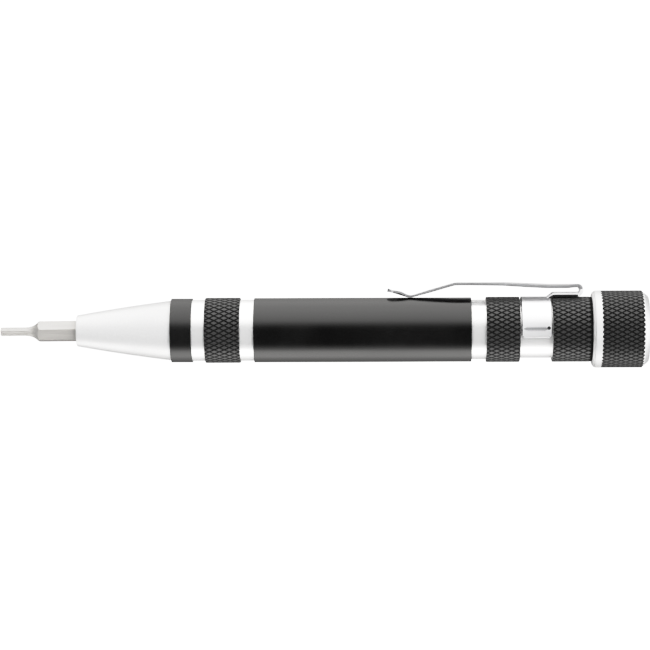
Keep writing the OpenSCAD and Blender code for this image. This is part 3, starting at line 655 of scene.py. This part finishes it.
def strip_width(i, s):
    """The strip widens from its round tip to the crest."""
    w = STRIP_W
    if i < crest_at:
        w = TIP_W + (STRIP_W - TIP_W) * max(0.0, s - TIP_W / 2) / (length[crest_at] - TIP_W / 2)
    if s < TIP_R:
        w -= 2 * (TIP_R - math.sqrt(max(TIP_R ** 2 - (TIP_R - max(s, 0.02)) ** 2, 0.0)))
    return w


def thickness(s):
    """Thin in the band's groove, thicker on the arm and towards the bend, with a bead at the tip."""
    before_foot = 1 - turned_in(s)
    plain = STRIP_T - THIN * clamp((s - length[-1] + THIN_AT) / THIN_L)
    arm = (T_ARM - STRIP_T) * clamp((s - THICK_AT) / THICK_L) * before_foot
    bead = BEAD * max(0.0, 1 - s / BEAD_L)
    back = (T_BACK - T_ARM) * clamp((s - BACK_AT) / BACK_L) * before_foot
    return plain + (arm + bead) + back


STEEL, SIDE, FOOT_SHADE, UNDER, FOOT_LIT, LIP_UNDER = 0, 1, 2, 3, 4, 5


def strip_material(i, k):
    """Which material the strip has between the path's points i and i + 1, at the section's point k."""
    edge_face = ACROSS <= k < ACROSS + 3 or k >= AROUND - 4
    under = ACROSS + 3 <= k < AROUND - 4
    # past the bend, the foot's top takes painted light and its underside and edges painted shade
    if i >= bend_end:
        return FOOT_LIT if under else FOOT_SHADE
    # the bend's lower half takes the painted light too
    if i >= (bend_at + bend_end) // 2:
        return FOOT_LIT
    # the edge faces take the painted shade
    if edge_face:
        return SIDE
    # the lip's underside takes a lighter painted shade
    if under and i < crest_at - LIP_POINTS:
        return LIP_UNDER
    # the underside over the barrel takes the painted shade
    return UNDER if under and path[i][0] < KNURL3 else STEEL


verts, faces, index = [], [], []
for i, p in enumerate(path):
    before, after = path[max(i - 1, 0)], path[min(i + 1, len(path) - 1)]
    t = unit((after[0] - before[0], after[1] - before[1]))
    s = length[i]
    w = strip_width(i, s)
    sag = cup(s, p[0])
    if sag < 0 and i < crest_at:
        sag *= (w / STRIP_W) ** 2
    for y, z in section(w, sag, thickness(s), 2 + over_knurl(s, p[0])):
        verts.append((p[0] - t[1] * z, y, p[1] + t[0] * z))
for i in range(len(path) - 1):
    for k in range(AROUND):
        faces.append(quad(i, k, AROUND))
        index.append(strip_material(i, k))
faces += ends(len(path), AROUND)
index += [SIDE, SIDE]
strip = make("clip_strip", verts, faces,
             [CLIP_STEEL, CLIP_EDGE_SHADE, CLIP_SHADE, CLIP_UNDER_SHADE, CLIP_FOOT_LIGHT, CLIP_LIP_SHADE], index)
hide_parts("clip_arm")

# Band round the barrel, rounded at its ends, with painted shade along its edges and at its ends
SEG_A, CORNER, BROKEN = 96, 0.9, 0.12    # steps round the band, its round corners and its broken edges
RIM = (0.0, 0.05, 0.12, 0.2, 0.3, 0.42, 0.6, 0.9)
TUCK = 1.4                               # degrees by which the last step round goes on at each end
SKIN, EDGE_SHADE, ROUND_END_SHADE = 0, 1, 2


def band_reach(x):
    """How far round the band goes at a place along it, in degrees, with rounded corners."""
    d = min(x - BAND_X, BAND_X + BAND_L - x)
    if d >= CORNER:
        return WRAP
    back = CORNER - math.sqrt(max(CORNER ** 2 - (CORNER - d) ** 2, 0))
    return WRAP - math.degrees(back / BAND_SKIN)


xs = [BAND_X + d for d in RIM] + between(BAND_X + CORNER, BAND_X + BAND_L - CORNER, 10)[:-1]
xs += [BAND_X + BAND_L - d for d in reversed(RIM)]
verts, faces, index = [], [], []
for layer, r0 in ((0, BAND_SKIN), (1, BAND_R)):
    for x in xs:
        for j in range(SEG_A + 1):
            share = max(-1.0, min(1.0, (2 * j - SEG_A) / (SEG_A - 2)))
            a = math.radians(band_reach(x) * share + (-TUCK if j == 0 else TUCK if j == SEG_A else 0))
            at_edge = layer == 0 and (j in (0, SEG_A) or x in (xs[0], xs[-1]))
            r = r0 - (BROKEN if at_edge else 0.0)
            verts.append((x, r * math.sin(a), LIFT + r * math.cos(a)))
nx, na = len(xs), SEG_A + 1
inner = nx * na
for o in (0, inner):
    for i in range(nx - 1):
        for j in range(SEG_A):
            here, ahead = o + i * na + j, o + (i + 1) * na + j
            faces.append((here, here + 1, ahead + 1, ahead))
for i in range(nx - 1):
    for j in (0, SEG_A):
        faces.append((i * na + j, (i + 1) * na + j, inner + (i + 1) * na + j, inner + i * na + j))
for j in range(SEG_A):
    for i in (0, nx - 1):
        faces.append((i * na + j, i * na + j + 1, inner + i * na + j + 1, inner + i * na + j))
outer_faces = (nx - 1) * SEG_A
# the band's outer rows at both sides and its end walls take the near-black painted shade, and its ends
# round the barrel the grey one
for f in range(len(faces)):
    i, j = f // SEG_A, f % SEG_A
    if f < outer_faces and j in (0, SEG_A - 1):
        index.append(ROUND_END_SHADE)
    else:
        side_face = f < outer_faces and i in (0, 1, nx - 2, nx - 3)
        index.append(EDGE_SHADE if f >= 2 * outer_faces or side_face else SKIN)
band = make("clip_band_form", verts, faces, [BAND_STEEL, CLIP_SHADE, BAND_END_SHADE], index, "clip", 35.0)
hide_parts("clip_band")

# The slot on each side of the band, drawn as painted shade: thin layers, each narrower and darker, and a
# small round hole painted dark as its shadow
SLOT_Z, SLOT_A, SLOT_B, SLOT_LAYERS, LAYER_T = 0.16, 93.7, 98.75, (0.62, 0.42, 0.2), 0.004
HOLE_X, HOLE_Z, HOLE_R, HOLE_LIFT = 99.0, SLOT_Z + 0.15, 0.36, 0.018
SLOT_STEPS, HOLE_STEPS = 16, 24
for side, y_sign in (("near", -1), ("far", 1)):
    verts, faces, index = [], [], []
    for layer, half in enumerate(SLOT_LAYERS):
        skin_r = BAND_SKIN + LAYER_T * (layer + 1)
        o = len(verts)
        for i in range(SLOT_STEPS + 1):
            x = SLOT_A + (SLOT_B - SLOT_A) * i / SLOT_STEPS
            reach = half * min(1.0, 0.1 + i / 3, 0.35 + (SLOT_STEPS - i) / 3)
            for z in (SLOT_Z + reach, SLOT_Z - reach):
                verts.append((x, y_sign * math.sqrt(skin_r ** 2 - (z - LIFT) ** 2), z))
            if i:
                faces.append((o + 2 * i - 2, o + 2 * i - 1, o + 2 * i + 1, o + 2 * i))
                index.append(layer)
    o = len(verts)
    for i in range(HOLE_STEPS):
        z = HOLE_Z + HOLE_R * math.sin(TAU * i / HOLE_STEPS)
        x = HOLE_X + HOLE_R * math.cos(TAU * i / HOLE_STEPS)
        verts.append((x, y_sign * math.sqrt((BAND_SKIN + HOLE_LIFT) ** 2 - (z - LIFT) ** 2), z))
    faces.append(tuple(range(o, o + HOLE_STEPS)))
    index.append(len(SLOT_LAYERS))
    slot = make("clip_band_hole_shade_" + side, verts, faces, [SLOT_SHADE_LIGHT, SLOT_SHADE_MID, SLOT_SHADE_DARK, HOLE_SHADE],
                index, "clip", 35.0)
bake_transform(strip)

# Finishes of the nodes that keep their own shape
FINISH = {"bit_socket": SOCKET, "bit_magnet": NICKEL, "set_screw": DARK,
          "bit_carrier": PLASTIC, "carrier_screw": DARK, "spare_bit_slotted_wide": BIT,
          "spare_bit_slotted_narrow": BIT, "spare_bit_cross_large": BIT, "spare_bit_cross_small": BIT,
          "spare_bit_star": BIT, "spare_bit_hex": BIT}
for name, m in FINISH.items():
    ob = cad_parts[name]
    ob.data.materials.clear()
    ob.data.materials.append(m)

# Studio: the tone curve, the light and the floor
scene = bpy.context.scene
scene.view_settings.view_transform = "Standard"
scene.view_settings.look = "None"
tone = scene.view_settings.curve_mapping
scene.view_settings.use_curve_mapping = True
tone.white_level = (1.5, 1.5, 1.5)
curve = tone.curves[3]
curve.points[0].location = (0, 0)
curve.points[1].location = (1, 1)
for a, b in ((0.133, 0.20), (0.267, 0.42), (0.433, 0.70), (0.667, 0.87), (0.85, 0.95)):
    curve.points.new(a, b)
tone.update()

# The light, by its angle round the tool: -90 below, 0 from the front, 90 above. SKY lights what is
# turned round the axis. FLANK takes its place towards both ends, and the two end faces have one value each.
LIGHT, WARMTH = 3.2, (1.0, 0.99, 0.975)
SKY = ((-180, 0.5), (-160, 0.4), (-148, 0.3), (-128, 0.8), (-105, 2.5), (-84, 2.8), (-69, 0.7),
       (-56, 0.07), (-45, 0.02), (2, 0.02), (13, 0.12), (24, 0.75), (34, 1.6), (52, 2.1), (75, 2.4),
       (105, 2.2), (120, 1.8), (131, 1.3), (143, 0.85), (156, 0.6), (180, 0.5))
FLANK = ((-180, 0.3), (-150, 0.25), (-130, 0.45), (-105, 1.6), (-80, 1.8), (-60, 1.8), (-35, 2.2),
         (-10, 2.7), (20, 2.5), (50, 1.8), (80, 1.5), (110, 1.3), (131, 0.65), (143, 0.4), (160, 0.3),
         (180, 0.3))
TIP_LIGHT, CAP_LIGHT = 0.3, 1.9
# How much a direction runs along the tool, where each of the three begins and where it is in full
FLANK_SPAN, TIP_SPAN, CAP_SPAN = (0.30, 0.45), (-0.55, -0.75), (0.86, 0.95)

world = bpy.data.worlds.new("studio")
scene.world = world
world.use_nodes = True
nt = world.node_tree
bg = nt.nodes["Background"]
tc = put(nt, "ShaderNodeTexCoord")
sep = put(nt, "ShaderNodeSeparateXYZ")
nt.links.new(tc.outputs["Generated"], sep.inputs["Vector"])
neg = put(nt, "ShaderNodeMath", operation="MULTIPLY")
neg.inputs[1].default_value = -1.0
nt.links.new(sep.outputs["Y"], neg.inputs[0])
at = put(nt, "ShaderNodeMath", operation="ARCTAN2")
nt.links.new(sep.outputs["Z"], at.inputs[0])
nt.links.new(neg.outputs[0], at.inputs[1])
part = put(nt, "ShaderNodeMath", operation="MULTIPLY_ADD")
part.inputs[1].default_value = 1 / TAU
part.inputs[2].default_value = 0.5
nt.links.new(at.outputs[0], part.inputs[0])


def at_angle(deg):
    """Place on a ramp of an angle round the tool."""
    return (deg + 180) / 360


sky_stops = [(at_angle(a), tuple(v * tint / LIGHT for tint in WARMTH)) for a, v in SKY]
sky = ramp(nt, part.outputs[0], sky_stops)
side = put(nt, "ShaderNodeMath", operation="ABSOLUTE")
nt.links.new(sep.outputs["X"], side.inputs[0])
flank = ramp(nt, part.outputs[0], [(at_angle(a), v / LIGHT) for a, v in FLANK])
light = sky
for fac, span, value in ((side.outputs[0], FLANK_SPAN, flank), (sep.outputs["X"], TIP_SPAN, TIP_LIGHT),
                         (sep.outputs["X"], CAP_SPAN, CAP_LIGHT)):
    share = put(nt, "ShaderNodeMapRange", interpolation_type="SMOOTHSTEP")
    share.inputs["From Min"].default_value = span[0]
    share.inputs["From Max"].default_value = span[1]
    nt.links.new(fac, share.inputs["Value"])
    mixed = put(nt, "ShaderNodeMix", data_type="RGBA")
    nt.links.new(share.outputs["Result"], mixed.inputs["Factor"])
    nt.links.new(light, mixed.inputs["A"])
    if value is flank:
        nt.links.new(flank, mixed.inputs["B"])
    else:
        mixed.inputs["B"].default_value = (value / LIGHT, value / LIGHT, value / LIGHT, 1)
    light = mixed.outputs["Result"]
nt.links.new(light, bg.inputs["Color"])
bg.inputs["Strength"].default_value = LIGHT

# A plain white floor that runs up into a wall. It glows just enough to be white, and lights nothing.
floor_mat, nt, bsdf = new_material("floor")
bsdf.inputs["Base Color"].default_value = (0, 0, 0, 1)
bsdf.inputs["Roughness"].default_value = 0.9
bsdf.inputs["Specular IOR Level"].default_value = 0.0
bsdf.inputs["Emission Color"].default_value = (1, 1, 1, 1)
bsdf.inputs["Emission Strength"].default_value = 1.62
FLOOR_Z, FRONT_Y, BEND_Y, BEND_R, WALL_TOP, HALF_W = -0.08, -3.0, 0.35, 0.3, 2.5, 3.0    # metres
pts = [(FRONT_Y, FLOOR_Z), (BEND_Y, FLOOR_Z)]
for i in range(1, 13):
    a = math.radians(90 * i / 12)
    pts.append((BEND_Y + BEND_R * math.sin(a), FLOOR_Z + BEND_R * (1 - math.cos(a))))
pts.append((BEND_Y + BEND_R, WALL_TOP))
verts, faces = [], []
for y, z in pts:
    verts += [(-HALF_W, y, z), (HALF_W, y, z)]
for i in range(len(pts) - 1):
    faces.append((2 * i, 2 * i + 1, 2 * i + 3, 2 * i + 2))
me = bpy.data.meshes.new("floor")
me.from_pydata(verts, [], faces)
me.materials.append(floor_mat)
me.shade_smooth()
floor = bpy.data.objects.new("floor", me)
scene.collection.objects.link(floor)
floor.visible_glossy = False
floor.visible_diffuse = False
floor.visible_shadow = False

# Camera, where it stood for the photo
CAM_D, F_PX, PICTURE_PX, SENSOR = 570.0, 2708.0, 650.0, 36.0
CAM_YAW, CAM_ELEV, CAM_ROLL = math.radians(1.3), math.radians(0.6), math.radians(0.22)
target = Vector((52.3, 0, 1.05)) * MM
level = math.cos(CAM_ELEV)
away = Vector((math.sin(CAM_YAW) * level, -math.cos(CAM_YAW) * level, math.sin(CAM_ELEV)))
cam_data = bpy.data.cameras.new("camera")
cam_data.sensor_width = SENSOR
cam_data.lens = F_PX * SENSOR / PICTURE_PX
cam_data.clip_start = 0.01
cam_data.clip_end = 50
cam = bpy.data.objects.new("camera", cam_data)
scene.collection.objects.link(cam)
cam.location = target + away * CAM_D * MM
look = (-away).to_track_quat("-Z", "Y").to_matrix()
cam.rotation_euler = (look @ Matrix.Rotation(-CAM_ROLL, 3, "Z")).to_euler()
scene.camera = cam
